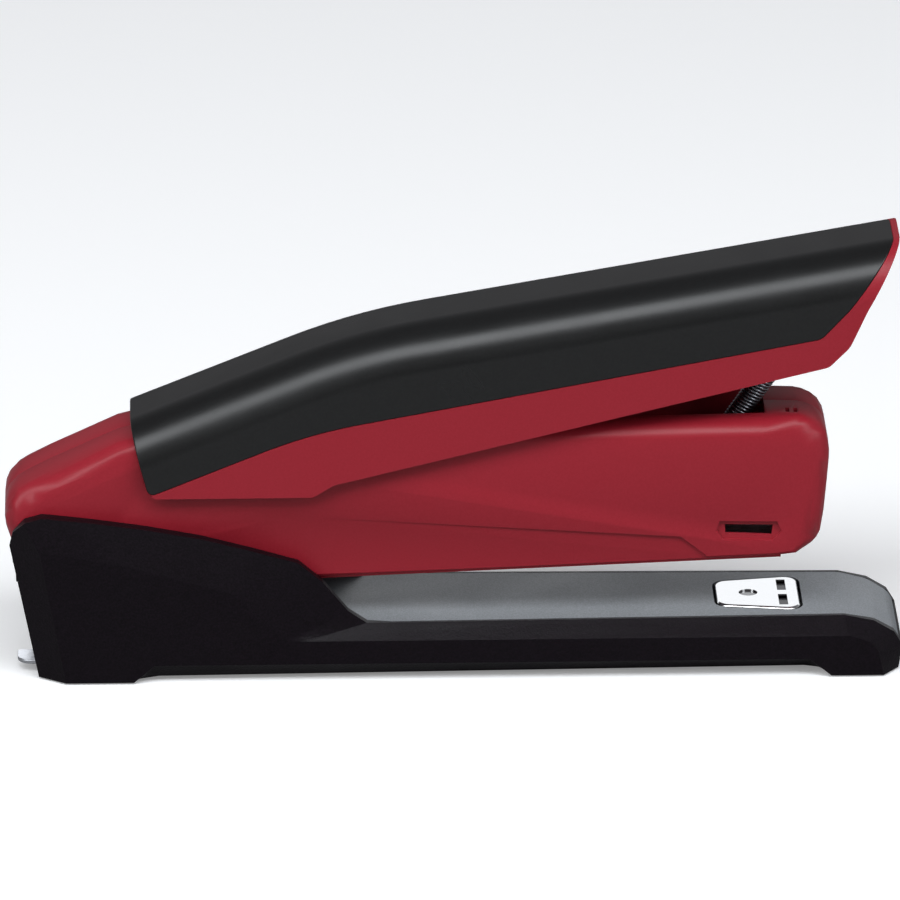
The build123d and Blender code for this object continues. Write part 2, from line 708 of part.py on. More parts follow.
def tube(x0, x1, w, outer, inner):
    """A round tube or rod along the track."""
    end = Plane(
        origin=TRACK.from_local_coords(Vector(x0, w, 0)), x_dir=(0, 1, 0), z_dir=TRACK.x_dir
    )
    with BuildSketch(end) as ring:
        Circle(outer)
        if inner:
            Circle(inner, mode=Mode.SUBTRACT)
    extrude(ring.sketch, amount=x1 - x0)


with BuildPart() as pusher_rod:
    tube(RAIL_REAR - 1.2, RAIL_FRONT - 2.1, ROD_W, ROD_R, 0)
finish(pusher_rod, "pusher_rod")

PUSHER_LEN = 8.0
PUSHER_FRONT = RAIL_FRONT - STRIP - 0.1
PUSHER_REAR = PUSHER_FRONT - PUSHER_LEN
with BuildPart() as staple_pusher:
    box(PUSHER_REAR, PUSHER_FRONT, WEB_TOP + 0.2, CEILING - 0.2, CHANNEL_IN - 0.25, TRACK)
    over_rail = (RAIL_TOP + 0.15, RAIL_HALF + 0.15)
    box(PUSHER_REAR - 1, PUSHER_FRONT + 1, 0, *over_rail, TRACK, Mode.SUBTRACT)
    box(PUSHER_REAR, PUSHER_FRONT, RAIL_TOP - 1.2, RAIL_TOP + 0.5, SLOT_HALF - 0.2, TRACK)
    in_rail = (WEB_TOP + 0.2, RAIL_TOP - SHEET - 0.15, RAIL_IN - 0.2)
    box(PUSHER_REAR, PUSHER_FRONT, *in_rail, TRACK)
    with Locations(TRACK.location):
        with Locations(Location((PUSHER_FRONT - PUSHER_LEN / 2, ROD_W, 0), (0, 90, 0))):
            Cylinder(ROD_R + 0.08, PUSHER_LEN + 2, mode=Mode.SUBTRACT)
finish(staple_pusher, "staple_pusher")

with BuildPart() as pusher_spring:
    tube(RAIL_REAR + 3.2, PUSHER_REAR - 0.2, ROD_W, ROD_R + 0.9, ROD_R + 0.25)
finish(pusher_spring, "pusher_spring")

with BuildPart() as latch_pin:
    cross_pin(LATCH_X, LATCH_W, 0.8, 5.7, TRACK)
finish(latch_pin, "latch_pin")

with BuildPart() as track_latch:
    latch_side = [
        (PULL_REAR - 0.6, 4.0),
        (LATCH_X + 3.4, 3.6),
        (LATCH_X + 4.4, 5.0),
        (LATCH_X + 4.4, 7.3),
        (LATCH_X + 3.0, 7.3),
        (LATCH_X + 2.0, 6.0),
        (PULL_REAR - 0.6, 6.2),
    ]
    block(outline(latch_side, TRACK), 4.0)
    cross_pin(LATCH_X, LATCH_W, 0.86, 6, TRACK, Mode.SUBTRACT)
finish(track_latch, "track_latch")

# ---------------------------------------------------------------- Springs

COIL = 0.6
LEG_X, LEG_Z = cos(radians(46.4)), sin(radians(46.4))  # way the leg runs, forward and down
with BuildPart() as body_lift_spring:
    for side in (-1, 1):
        with BuildSketch(SIDE.offset(-side * (SPRING_SLOT[0] + 0.1))) as ring:
            with Locations((HINGE_X, HINGE_Z)):
                Circle(PIN_R + 0.3 + COIL)
                Circle(PIN_R + 0.3, mode=Mode.SUBTRACT)
        extrude(ring.sketch, amount=2.8, dir=(0, side, 0))
        # Straight leg down to the base's floor, square to the coil
        near, far = PIN_R + 0.35, PIN_R + 0.35 + COIL
        drop = (HINGE_Z - FLOOR_Z - 2.2) / LEG_Z
        leg = [
            (HINGE_X - LEG_Z * near, HINGE_Z - LEG_X * near),
            (HINGE_X - LEG_Z * near + LEG_X * drop, HINGE_Z - LEG_X * near - LEG_Z * drop),
            (HINGE_X - LEG_Z * far + LEG_X * drop, HINGE_Z - LEG_X * far - LEG_Z * drop),
            (HINGE_X - LEG_Z * far, HINGE_Z - LEG_X * far),
        ]
        leg_plane = SIDE.offset(-side * (SPRING_SLOT[0] + 0.3))
        extrude(outline(leg, leg_plane), amount=COIL, dir=(0, side, 0))
finish(body_lift_spring, "body_lift_spring")

COIL_FOOT = (STRIKE - 15.2, 50.5)
COIL_LEAN = 55.0
COIL_LEN = 37.0
COIL_R = 2.5
with BuildPart() as handle_return_spring:
    lean = (cos(radians(COIL_LEAN)), 0, sin(radians(COIL_LEAN)))
    foot = Plane(origin=(COIL_FOOT[0], 0, COIL_FOOT[1]), x_dir=(0, 1, 0), z_dir=lean)
    with BuildSketch(foot) as ring:
        Circle(COIL_R)
        Circle(COIL_R - COIL, mode=Mode.SUBTRACT)
    extrude(ring.sketch, amount=COIL_LEN)
finish(handle_return_spring, "handle_return_spring")

# ---------------------------------------------------------------- Handle

REAR_SLOPE = tan(radians(21.9))
FRONT_SLOPE = tan(radians(9.8))
BEND_X, BEND_Z = -22.0, 78.3
BEND_R = 150.0
TIP_X, HEEL_X = STRIKE + 22.6, -71.9
RIM = 1.3  # how far the red rim stands in front of the cover
TOP_EDGE_R = 10.5
CORE_EDGE_R = TOP_EDGE_R - COVER_WALL - SEAT_GAP
HOLLOW_EDGE_R = CORE_EDGE_R - 2.0  # tighter, so that the body's shoulders clear it
SKIN = 1.8  # the cover's thickness on top
SHELL_TOP = 1.6  # the frame's thickness on top


def on_top(x, drop=0.0):
    """A point at x on the handle's top line, lowered by drop."""
    slope = FRONT_SLOPE if x > BEND_X else REAR_SLOPE
    return (x, BEND_Z + slope * (x - BEND_X) - drop)


# The cover's side outline: tip, bend, heel, rear corner, lower bend, front corner
COVER_SIDE = [
    on_top(TIP_X),
    on_top(BEND_X),
    on_top(HEEL_X),
    (-67.9, 43.1),
    (-32.1, 57.6),
    (STRIKE + 6.3, 78.6),
    (STRIKE + 12.6, 85.4),
]
COVER_RADII = [0, BEND_R, 0, 1.5, 110.0, 3.0, 20.0]
# The whole handle's side outline: the cover's top, the red rim at the front and the skirt below
FRAME_SIDE = [
    on_top(TIP_X + RIM),
    on_top(BEND_X),
    on_top(HEEL_X + 0.5),
    (-67.0, 42.7),
    (-31.5, 42.7),
    (-27.0, 45.5),
    (STRIKE + 8.0, 72.1),
    (STRIKE + 12.6, 76.7),
    (STRIKE + 16.4, 85.1),
]
FRAME_RADII = [0, BEND_R, 0, 1.2, 3.0, 3.0, 3.0, 6.0, 30.0]


def top_edges(solid):
    """The edges along both sides of the top."""
    return [
        edge
        for edge in solid.edges().filter_by(lambda e: abs((e @ 1).Y - (e @ 0).Y) < 1 and e.length > 15)
        if (edge @ 0.5).Z > on_top((edge @ 0.5).X, 5.0)[1]
    ]


def top_block(points, radii, half, edge_radius):
    """The side outline extruded to half on each side, with its two long top edges rounded."""
    with BuildPart() as solid:
        block(rounded(points, radii), half)
        fillet(top_edges(solid), radius=edge_radius)
    return solid.part


cover_hollow = top_block(
    [on_top(STRIKE + 60, SKIN), on_top(BEND_X, SKIN), on_top(-90, SKIN), (-90, 20), (STRIKE + 60, 20)],
    [0, BEND_R, 0, 0, 0],
    COVER_IN,
    TOP_EDGE_R - COVER_WALL,
)
with BuildPart() as handle_cover:
    add(top_block(COVER_SIDE, COVER_RADII, HANDLE_HALF, TOP_EDGE_R))
    add(cover_hollow, mode=Mode.SUBTRACT)
finish(handle_cover, "handle_cover")

# What lies under the cover is set in from its walls
CORE_SIDE = [
    on_top(TIP_X - 0.5, SKIN + SEAT_GAP),
    on_top(BEND_X, SKIN + SEAT_GAP),
    on_top(-69.6, SKIN + SEAT_GAP),
    (-66.4, 43.6),
    (-31.3, 43.6),
    (-27.2, 46.3),
    (STRIKE + 7.6, 73.0),
    (STRIKE + 11.8, 77.2),
    (STRIKE + 15.6, 85.4),
]
HOLLOW_TOP = SKIN + SEAT_GAP + SHELL_TOP
FRAME_TOP_REAR = -56.0  # behind this the frame is only its two side walls
HOLLOW_SIDE = [
    on_top(TIP_X - 5.6, HOLLOW_TOP),
    on_top(BEND_X, HOLLOW_TOP),
    on_top(-85, HOLLOW_TOP),
    (-85, 25),
    (STRIKE + 7.4, 25),
    (STRIKE + 7.6, 72.6),
    (STRIKE + 10.0, 77.6),
    (STRIKE + 13.9, 86.0),
]
with BuildPart() as handle_frame:
    # Rim and skirt, flush with the cover's sides
    add(top_block(FRAME_SIDE, FRAME_RADII, HANDLE_HALF, TOP_EDGE_R))
    block(rounded(COVER_SIDE, COVER_RADII), HANDLE_HALF + 4, Mode.SUBTRACT)
    add(top_block(CORE_SIDE, [0, BEND_R] + [0] * 7, FRAME_OUT, CORE_EDGE_R))
    add(top_block(HOLLOW_SIDE, [0, BEND_R] + [0] * 6, FRAME_IN, HOLLOW_EDGE_R), mode=Mode.SUBTRACT)
    box(-90, FRAME_TOP_REAR, 50, 80, FRAME_IN, mode=Mode.SUBTRACT)
    cross_pin(KNEE_X, KNEE_Z, PIN_R + SEAT_GAP / 2, FRAME_OUT + 0.01, mode=Mode.SUBTRACT)
finish(handle_frame, "handle_frame")

PRESS_X = -1.0
PRESS_LOW = 56.6
with BuildPart() as handle_presser:
    presser_side = [
        on_top(PRESS_X - 5, HOLLOW_TOP + SEAT_GAP),
        (PRESS_X - 3.6, PRESS_LOW),
        (PRESS_X + 3.6, PRESS_LOW),
        on_top(PRESS_X + 5, HOLLOW_TOP + SEAT_GAP),
    ]
    block(rounded(presser_side, [0, 3.0, 3.0, 0]), 4.0)
finish(handle_presser, "handle_presser")
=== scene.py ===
# %% [markdown]
# # A desktop stapler
# The stapler was drawn first as an engineering model: a base with two wings, a red body that
# swings between them, a long handle over it, and the staples' steel track inside. Each piece
# of that model is already in its place here, in metres, and moves with its own body. This
# file gives every piece its finish, softens the edges that a mould leaves soft, and makes the
# springs and staples that the engineering model keeps plain.

# %% Load the engineering model
import json
from math import cos, pi, radians, sin

import bmesh
import bpy
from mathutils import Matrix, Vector

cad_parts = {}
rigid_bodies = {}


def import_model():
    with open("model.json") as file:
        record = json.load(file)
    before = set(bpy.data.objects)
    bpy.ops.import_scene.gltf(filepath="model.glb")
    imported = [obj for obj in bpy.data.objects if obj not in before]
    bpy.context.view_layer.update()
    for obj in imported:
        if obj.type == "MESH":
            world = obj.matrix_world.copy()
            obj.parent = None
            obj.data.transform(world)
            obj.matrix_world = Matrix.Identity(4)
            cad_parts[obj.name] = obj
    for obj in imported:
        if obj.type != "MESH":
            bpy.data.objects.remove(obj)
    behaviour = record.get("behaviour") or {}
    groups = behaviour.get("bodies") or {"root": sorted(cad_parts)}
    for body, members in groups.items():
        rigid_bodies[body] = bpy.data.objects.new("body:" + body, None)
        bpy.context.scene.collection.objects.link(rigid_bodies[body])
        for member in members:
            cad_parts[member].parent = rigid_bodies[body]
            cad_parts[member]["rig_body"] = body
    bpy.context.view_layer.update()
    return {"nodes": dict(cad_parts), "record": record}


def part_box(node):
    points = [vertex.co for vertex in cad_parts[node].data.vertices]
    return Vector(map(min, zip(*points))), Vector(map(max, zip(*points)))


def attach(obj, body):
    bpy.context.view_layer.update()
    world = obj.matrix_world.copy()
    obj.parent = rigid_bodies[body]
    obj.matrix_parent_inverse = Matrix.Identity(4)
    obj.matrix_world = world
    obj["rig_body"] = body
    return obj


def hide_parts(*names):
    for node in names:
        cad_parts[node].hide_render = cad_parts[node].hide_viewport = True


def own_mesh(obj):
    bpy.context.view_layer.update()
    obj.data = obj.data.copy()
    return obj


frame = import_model()
NODES = frame["nodes"]
SLOT_OF = {part["node"]: part["material_slot"] for part in frame["record"]["subparts"]}

# %% [markdown]
# ## Three small habits
# An operator acts on everything that is selected, so each step starts by selecting only its
# own piece. A new piece is modelled where it is easiest and then settled, which writes its
# place and turn into its mesh. `millimetres` lets the sizes below be written as a maker reads
# them.

# %% Selecting and measuring
MM_PER_METRE = 1000.0


def millimetres(value):
    return value / MM_PER_METRE


def pick(*pieces):
    """Selects only these pieces, the last one active."""
    bpy.ops.object.select_all(action="DESELECT")
    for piece in pieces:
        piece.select_set(True)
    bpy.context.view_layer.objects.active = pieces[-1]


def settle(piece):
    """Moves the piece's place and turn into its mesh, so that its object sits at the origin."""
    pick(piece)
    bpy.ops.object.transform_apply(location=True, rotation=True, scale=True)


# %% [markdown]
# ## Shared effects
# Three effects come back in several finishes. Each could be drawn anew in every material, but
# a node group holds it once and takes its own size in each place. `moulded grain` is the tiny
# pitted texture that a mould's steel leaves on plastic. `handled surface` is the slow change
# of gloss that fingers and time leave. `drawn metal` is the fine lengthwise streak of rolled
# sheet and drawn wire. All of them read Object coordinates, so a pattern stays on its piece.


# %% Helpers for effects
def effect(name, label, size, outputs):
    """A node group with one input, a size in mm, and float outputs."""
    group = bpy.data.node_groups.new(name, "ShaderNodeTree")
    socket = group.interface.new_socket(label, in_out="INPUT", socket_type="NodeSocketFloat")
    socket.default_value = size
    for output in outputs:
        group.interface.new_socket(output, in_out="OUTPUT", socket_type="NodeSocketFloat")
    start = group.nodes.new("NodeGroupInput")
    end = group.nodes.new("NodeGroupOutput")
    return group, start.outputs[label], end.inputs


def ramp(nodes, low, high, to_low=0.0, to_high=1.0):
    """A Map Range node from low..high to to_low..to_high."""
    node = nodes.new("ShaderNodeMapRange")
    node.inputs["From Min"].default_value = low
    node.inputs["From Max"].default_value = high
    node.inputs["To Min"].default_value = to_low
    node.inputs["To Max"].default_value = to_high
    return node


def object_place(nodes):
    return nodes.new("ShaderNodeTexCoord").outputs["Object"]


def texture_scale(nodes, links, size):
    """The scale of a pattern whose features are size mm across."""
    per_metre = nodes.new("ShaderNodeMath")
    per_metre.operation = "DIVIDE"
    per_metre.inputs[0].default_value = MM_PER_METRE
    links.new(size, per_metre.inputs[1])
    return per_metre.outputs[0]


def texture(nodes, links, kind, place, scale, **settings):
    """A texture of some kind over a place, with its other inputs given by name."""
    node = nodes.new(kind)
    links.new(place, node.inputs["Vector"])
    links.new(scale, node.inputs["Scale"])
    for label, value in settings.items():
        node.inputs[label].default_value = value
    return node


# %% Moulded grain
PIT_DEPTH_SHARE = 0.5
grain_group, size, out = effect("moulded grain", "Size", 0.3, ("Height", "Speckle"))
nodes, links = grain_group.nodes, grain_group.links
place, scale = object_place(nodes), texture_scale(nodes, links, size)
pits = texture(nodes, links, "ShaderNodeTexNoise", place, scale, Detail=3.0, Roughness=0.6)
cells = texture(nodes, links, "ShaderNodeTexVoronoi", place, scale)
height = nodes.new("ShaderNodeMath")
height.operation = "MULTIPLY_ADD"
height.inputs[1].default_value = PIT_DEPTH_SHARE
links.new(cells.outputs["Distance"], height.inputs[0])
links.new(pits.outputs["Fac"], height.inputs[2])
links.new(height.outputs[0], out["Height"])
speckle = ramp(nodes, 0.35, 0.7)
links.new(pits.outputs["Fac"], speckle.inputs["Value"])
links.new(speckle.outputs["Result"], out["Speckle"])
print("effect", grain_group.name)

# %% Handled surface
SMEAR_SIZE = 25.0
handled_group, size, out = effect("handled surface", "Size", SMEAR_SIZE, ("Mask",))
nodes, links = handled_group.nodes, handled_group.links
place, scale = object_place(nodes), texture_scale(nodes, links, size)
smears = texture(nodes, links, "ShaderNodeTexNoise", place, scale, Detail=4.0, Distortion=0.6)
mask = ramp(nodes, 0.35, 0.7)
links.new(smears.outputs["Fac"], mask.inputs["Value"])
links.new(mask.outputs["Result"], out["Mask"])
print("effect", handled_group.name)

# %% Drawn metal
# The pattern is stretched along X, the stapler's length, where sheet and wire were drawn
ALONG_THE_DRAW = 0.03
drawn_group, size, out = effect("drawn metal", "Across", 0.12, ("Height", "Streak"))
nodes, links = drawn_group.nodes, drawn_group.links
stretch = nodes.new("ShaderNodeMapping")
stretch.inputs["Scale"].default_value = (ALONG_THE_DRAW, 1.0, 1.0)
links.new(object_place(nodes), stretch.inputs["Vector"])
place, scale = stretch.outputs["Vector"], texture_scale(nodes, links, size)
lines = texture(nodes, links, "ShaderNodeTexNoise", place, scale, Detail=2.0)
streak = ramp(nodes, 0.3, 0.7)
links.new(lines.outputs["Fac"], streak.inputs["Value"])
links.new(lines.outputs["Fac"], out["Height"])
links.new(streak.outputs["Result"], out["Streak"])
print("effect", drawn_group.name)

# %% [markdown]
# ## Finishes
# The stapler has satin red shells, a glossy black cover, a rough black base with a matt grey
# insert, and plated steel. A flat colour would make them all look like the same toy plastic.
# Each finish is one material with its own values of the shared effects instead: a darker and
# a lighter colour that the speckle mixes, a smoother and a rougher gloss that the handled
# surface mixes, and a bump from the grain. Plastics take the moulded grain, metals the drawn
# streaks.


# %% Steps that every finish takes
def blend_colours(nodes, links, share, dark, light):
    mix = nodes.new("ShaderNodeMix")
    mix.data_type = "RGBA"
    mix.inputs["A"].default_value = (*dark, 1)
    mix.inputs["B"].default_value = (*light, 1)
    links.new(share, mix.inputs["Factor"])
    return mix.outputs["Result"]


def placed_group(nodes, group, label, value):
    node = nodes.new("ShaderNodeGroup")
    node.node_tree = group
    node.inputs[label].default_value = value
    return node


def glossed(nodes, links, share, gloss, shader):
    """gloss is the (smooth, rough) pair of roughness values that share runs between."""
    rough = ramp(nodes, 0.0, 1.0, *gloss)
    links.new(share, rough.inputs["Value"])
    links.new(rough.outputs["Result"], shader.inputs["Roughness"])


def bumped(nodes, links, height, shader, strength, depth):
    """A bump that is depth mm from its lowest to its highest point."""
    bump = nodes.new("ShaderNodeBump")
    bump.inputs["Strength"].default_value = strength
    bump.inputs["Distance"].default_value = millimetres(depth)
    links.new(height, bump.inputs["Height"])
    links.new(bump.outputs["Normal"], shader.inputs["Normal"])


def new_material(name):
    material = bpy.data.materials.new(name)
    material.use_nodes = True
    nodes, links = material.node_tree.nodes, material.node_tree.links
    return material, nodes, links, nodes["Principled BSDF"]


# %% The two kinds of finish
STREAK_DEPTH = 0.01


def plastic(name, dark, light, gloss, grain, strength, shine=0.5, depth=0.02):
    """A moulded plastic or rubber: grain is the texture's size and depth its height, in mm."""
    material, nodes, links, shader = new_material(name)
    shader.inputs["Specular IOR Level"].default_value = shine
    pitted = placed_group(nodes, grain_group, "Size", grain)
    touched = placed_group(nodes, handled_group, "Size", SMEAR_SIZE)
    colour = blend_colours(nodes, links, pitted.outputs["Speckle"], dark, light)
    links.new(colour, shader.inputs["Base Color"])
    glossed(nodes, links, touched.outputs["Mask"], gloss, shader)
    bumped(nodes, links, pitted.outputs["Height"], shader, strength, depth)
    return material


def metal(name, dark, light, gloss, across, strength):
    """A metal with fine lengthwise streaks: across is their width in mm."""
    material, nodes, links, shader = new_material(name)
    shader.inputs["Metallic"].default_value = 1.0
    drawn = placed_group(nodes, drawn_group, "Across", across)
    colour = blend_colours(nodes, links, drawn.outputs["Streak"], dark, light)
    links.new(colour, shader.inputs["Base Color"])
    glossed(nodes, links, drawn.outputs["Streak"], gloss, shader)
    bumped(nodes, links, drawn.outputs["Height"], shader, strength, STREAK_DEPTH)
    return material


def grey(value):
    return (value, value, value)


# %% The stapler's finishes
FINISHES = {
    "red_plastic": plastic(
        "red satin plastic", (0.285, 0.013, 0.023), (0.315, 0.016, 0.028), (0.36, 0.44), 0.5, 0.08, shine=0.3
    ),
    "black_gloss": plastic(
        "black gloss plastic", grey(0.006), grey(0.009), (0.27, 0.34), 0.6, 0.05, shine=0.42
    ),
    "black_textured": plastic(
        "black sparked plastic",
        (0.002, 0.001, 0.002),
        (0.007, 0.004, 0.007),
        (0.42, 0.52),
        0.45,
        0.9,
        shine=0.14,
        depth=0.07,
    ),
    "black_plastic": plastic("black moulded plastic", grey(0.012), grey(0.02), (0.4, 0.5), 0.4, 0.2),
    "grey_matt": plastic(
        "grey matt plastic", (0.13, 0.14, 0.15), (0.22, 0.235, 0.25), (0.5, 0.6), 0.3, 0.3, shine=0.4
    ),
    "rubber": plastic("matt rubber", grey(0.012), grey(0.022), (0.75, 0.85), 0.5, 0.4, shine=0.3),
    "chrome": metal("polished chrome", grey(0.80), grey(0.88), (0.1, 0.16), 0.1, 0.02),
    "zinc_steel": metal("zinc plated steel", (0.46, 0.47, 0.50), (0.62, 0.63, 0.66), (0.26, 0.36), 0.12, 0.1),
    "spring_steel": metal("spring wire", (0.24, 0.25, 0.28), (0.42, 0.43, 0.46), (0.25, 0.38), 0.1, 0.1),
    "staple_wire": metal("staple wire", (0.62, 0.63, 0.65), (0.76, 0.77, 0.79), (0.2, 0.3), 0.1, 0.1),
}


def give_finish(piece, finish):
    piece.data.materials.clear()
    piece.data.materials.append(finish)


for name, node in NODES.items():
    give_finish(node, FINISHES[SLOT_OF[name]])
print("finishes", sorted(FINISHES))

# %% [markdown]
# ## Softened shells
# A moulded shell has no sharp edge: each one has a radius of a few tenths of a millimetre, and
# light catches it as a thin bright line. The shells could be modelled again with round edges,
# but the engineering shells already have the right faces. So each visible shell is copied, its
# loose triangles are merged, its flat faces are joined, and a Bevel modifier rounds every edge
# that turns by more than a few degrees. The copy then stands for the engineering piece.

# %% The softening step
MERGE = 2e-6
FLAT_WITHIN = radians(0.8)
TURNS_BY = radians(6)
EDGE_SEGMENTS, WIDE_SEGMENTS = 3, 5


def round_edges(piece, limit, radius, segments, turn=0.0):
    """Bevels the active piece by radius, in mm: by edge weight, or where it turns by turn degrees."""
    bevel = piece.modifiers.new("edge radius", "BEVEL")
    bevel.limit_method = limit
    if limit == "ANGLE":
        bevel.angle_limit = radians(turn)
    bevel.width = millimetres(radius)
    bevel.segments = segments
    bpy.ops.object.modifier_apply(modifier=bevel.name)


def weigh_edges(piece, is_wide):
    """Gives a bevel weight of 1 to each turning edge for which is_wide answers True."""
    mesh = bmesh.new()
    mesh.from_mesh(piece.data)
    weight = mesh.edges.layers.float.new("bevel_weight_edge")
    for edge in mesh.edges:
        turning = len(edge.link_faces) == 2 and edge.calc_face_angle(0.0) > TURNS_BY
        if turning and is_wide(*(vert.co for vert in edge.verts)):
            edge[weight] = 1.0
    mesh.to_mesh(piece.data)
    mesh.free()


def softened(node, radius, turn=24.0, smooth=40.0, even=True, wide=0.0, is_wide=None):
    """A copy of an engineering piece with its edges rounded by radius, in mm.

    turn and smooth are in degrees: an edge that turns more than turn is rounded, and faces
    that meet at less than smooth are shaded as one. even keeps flat faces flat. Edges for
    which is_wide answers True are rounded by wide first.
    """
    piece = bpy.data.objects.new(node + "_moulded", NODES[node].data.copy())
    bpy.context.scene.collection.objects.link(piece)
    pick(piece)
    bpy.ops.object.mode_set(mode="EDIT")
    bpy.ops.mesh.select_all(action="SELECT")
    bpy.ops.mesh.remove_doubles(threshold=MERGE)
    bpy.ops.mesh.dissolve_limited(angle_limit=FLAT_WITHIN)
    bpy.ops.object.mode_set(mode="OBJECT")
    if is_wide:
        weigh_edges(piece, is_wide)
        round_edges(piece, "WEIGHT", wide, WIDE_SEGMENTS)
    round_edges(piece, "ANGLE", radius, EDGE_SEGMENTS, turn)
    bpy.ops.object.shade_smooth_by_angle(angle=radians(smooth))
    if even:
        weighted = piece.modifiers.new("even shading", "WEIGHTED_NORMAL")
        weighted.keep_sharp = True
        bpy.ops.object.modifier_apply(modifier=weighted.name)
    give_finish(piece, FINISHES[SLOT_OF[node]])
    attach(piece, NODES[node]["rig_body"])
    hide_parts(node)
    print(piece.name, len(piece.data.polygons), "faces")


# %% Soften what shows
# The base droops at its front, and the edges that run across the droop are rounder
FRONT_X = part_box("base_shell")[1].x - millimetres(16)
ABOVE_DESK = millimetres(2)


def across_the_front(a, b):
    """True for an edge that runs across the drooping front of the base."""
    in_front = min(a.x, b.x) > FRONT_X and min(a.z, b.z) > ABOVE_DESK
    return in_front and abs(a.y - b.y) > abs(a.x - b.x)


for node in ("housing_right", "housing_left"):
    softened(node, 0.4, turn=28.0, smooth=32.0, even=False)
softened("handle_cover", 0.35)
softened("handle_frame", 0.35)
softened("base_shell", 0.3, turn=9.0, smooth=30.0, wide=2.0, is_wide=across_the_front)
softened("base_top_plate", 0.2, wide=2.0, is_wide=across_the_front)
softened("track_pull", 0.3)
softened("track_latch", 0.25)
softened("staple_remover", 0.2)
softened("rear_foot_pad", 0.3)
softened("front_foot_pad", 0.3)

# %% [markdown]
# ## Anvil
# The anvil is a bright chromed plate. Its rivet ring and the two pockets that turn the legs
# look dark because they lie in shade below its face, and that shade is painted into the
# colour. It could be painted by hand on the faces, but a finish that darkens with depth finds
# them all by itself.

# %% Finish of the anvil, with painted shade below its face
DARK_AT, BRIGHT_AT = millimetres(0.45), millimetres(0.25)
# Painted shade: the near-black that the pockets and the rivet ring take below the anvil's face
RECESS_SHADE = (0.015, 0.015, 0.017)
anvil_chrome = FINISHES["chrome"].copy()
anvil_chrome.name = "chrome anvil"
nodes, links = anvil_chrome.node_tree.nodes, anvil_chrome.node_tree.links
anvil_colour = nodes["Principled BSDF"].inputs["Base Color"]
axes = nodes.new("ShaderNodeSeparateXYZ")
links.new(object_place(nodes), axes.inputs["Vector"])
anvil_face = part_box("anvil_plate")[1].z
depth = ramp(nodes, anvil_face - DARK_AT, anvil_face - BRIGHT_AT)
links.new(axes.outputs["Z"], depth.inputs["Value"])
# The painted shade is full from DARK_AT below the face and gone above BRIGHT_AT below it
painted_shade_below = nodes.new("ShaderNodeMix")
painted_shade_below.data_type = "RGBA"
painted_shade_below.inputs["A"].default_value = (*RECESS_SHADE, 1)
links.new(depth.outputs["Result"], painted_shade_below.inputs["Factor"])
links.new(anvil_colour.links[0].from_socket, painted_shade_below.inputs["B"])
links.new(painted_shade_below.outputs["Result"], anvil_colour)
ANVIL_PIECES = [NODES["anvil_plate"], NODES["anvil_rivet"]]
for piece in ANVIL_PIECES:
    give_finish(piece, anvil_chrome)
print("anvil face at", round(anvil_face * MM_PER_METRE, 2), "mm")

# %% [markdown]
# ## Coil springs
# One close-wound coil lifts the handle and shows between handle and nose, another pushes the
# staples along their rail. A coil could be a curve with a round bevel, but its ends would be
# open. Here it is one small ring of wire turned and lifted by a Screw modifier: the ring's size
# is the wire, its distance from the axis is the coil's radius, and the lift per turn is the
# pitch. Its two ends are then closed.

# %% Coil maker
WIRE_SIDES, STEPS_PER_TURN = 8, 18


def coil(name, body, outer, wire, length, turns, foot, along):
    """A spring in mm, with its lower end at foot, in metres, and its axis along a direction."""
    bpy.ops.object.select_all(action="DESELECT")
    bpy.ops.mesh.primitive_circle_add(
        vertices=WIRE_SIDES,
        radius=millimetres(wire / 2),
        location=(millimetres(outer - wire / 2), 0, millimetres(wire / 2)),
        rotation=(pi / 2, 0, 0),
    )
    piece = bpy.context.active_object
    piece.name = name
    settle(piece)
    turned = piece.modifiers.new("turns", "SCREW")
    turned.axis = "Z"
    turned.screw_offset = millimetres((length - wire) / turns)
    turned.iterations = turns
    turned.steps = turned.render_steps = STEPS_PER_TURN
    bpy.ops.object.modifier_apply(modifier=turned.name)
    bpy.ops.object.mode_set(mode="EDIT")
    bpy.ops.mesh.select_all(action="SELECT")
    bpy.ops.mesh.remove_doubles(threshold=1e-7)
    bpy.ops.mesh.fill_holes(sides=WIRE_SIDES)
    bpy.ops.mesh.normals_make_consistent(inside=False)
    bpy.ops.object.mode_set(mode="OBJECT")
    bpy.ops.object.shade_smooth_by_angle(angle=radians(50))
    piece.rotation_euler = along.to_track_quat("Z", "Y").to_euler()
    piece.location = foot
    settle(piece)
    give_finish(piece, FINISHES["spring_steel"])
    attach(piece, body)
    print(name, turns, "turns", len(piece.data.polygons), "faces")
    return piece


# %% Spring that lifts the handle
HANDLE_COIL_LEAN = radians(55.0)
HANDLE_COIL_OUTER, HANDLE_COIL_WIRE, HANDLE_COIL_LENGTH = 2.5, 0.72, 37.0
coil_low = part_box("handle_return_spring")[0]
lean = Vector((cos(HANDLE_COIL_LEAN), 0, sin(HANDLE_COIL_LEAN)))
coil_foot = Vector(
    (
        coil_low.x + millimetres(HANDLE_COIL_OUTER) * sin(HANDLE_COIL_LEAN),
        0,
        coil_low.z + millimetres(HANDLE_COIL_OUTER) * cos(HANDLE_COIL_LEAN),
    )
)
handle_coil = coil(
    "handle_return_coil",
    "body",
    HANDLE_COIL_OUTER,
    HANDLE_COIL_WIRE,
    HANDLE_COIL_LENGTH,
    46,
    coil_foot,
    lean,
)
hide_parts("handle_return_spring")
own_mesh(handle_coil)

